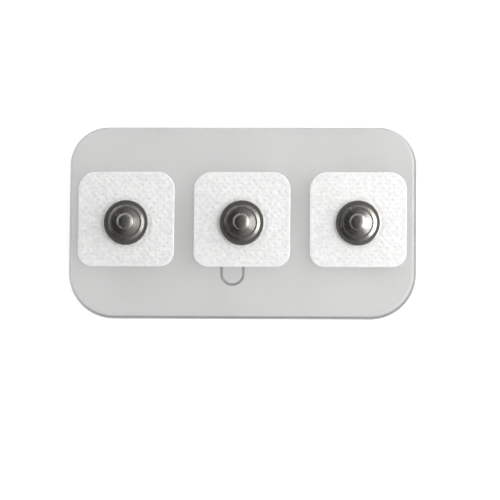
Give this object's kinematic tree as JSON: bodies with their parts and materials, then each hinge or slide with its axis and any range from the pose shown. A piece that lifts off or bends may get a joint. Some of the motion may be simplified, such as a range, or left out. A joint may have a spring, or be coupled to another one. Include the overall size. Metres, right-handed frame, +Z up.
{
  "type": "ecg electrode card",
  "caption": "Clear formed release liner with a row of square nonwoven tape pads, each with a metal snap stud over a gel disc in its own cup, for picking up a heart signal from the skin.",
  "frame": {"origin": "on the table under the middle of the liner, level with the feet of its cups and of its edge", "axes": "+X along the row of pads, +Y to the liner's rear edge, +Z up along the studs"},
  "size_m": [0.0848, 0.0472, 0.0066],
  "materials": {
    "liner_film": "clear film with a faint smoky tint, smooth and glossy",
    "nonwoven_tape": "white point-bonded nonwoven, matte",
    "plated_stud": "dull bright nickel plate on pressed sheet",
    "silver_coating": "silver and silver chloride coating, matte",
    "contact_gel": "clear set gel, moist gloss"
  },
  "bodies": {
    "root": {"release_liner": "liner_film", "left_tape": "nonwoven_tape", "left_gel": "contact_gel", "left_eyelet": "silver_coating", "left_stud": "plated_stud", "middle_tape": "nonwoven_tape", "middle_gel": "contact_gel", "middle_eyelet": "silver_coating", "middle_stud": "plated_stud", "right_tape": "nonwoven_tape", "right_gel": "contact_gel", "right_eyelet": "silver_coating", "right_stud": "plated_stud"}
  },
  "joints": []
}
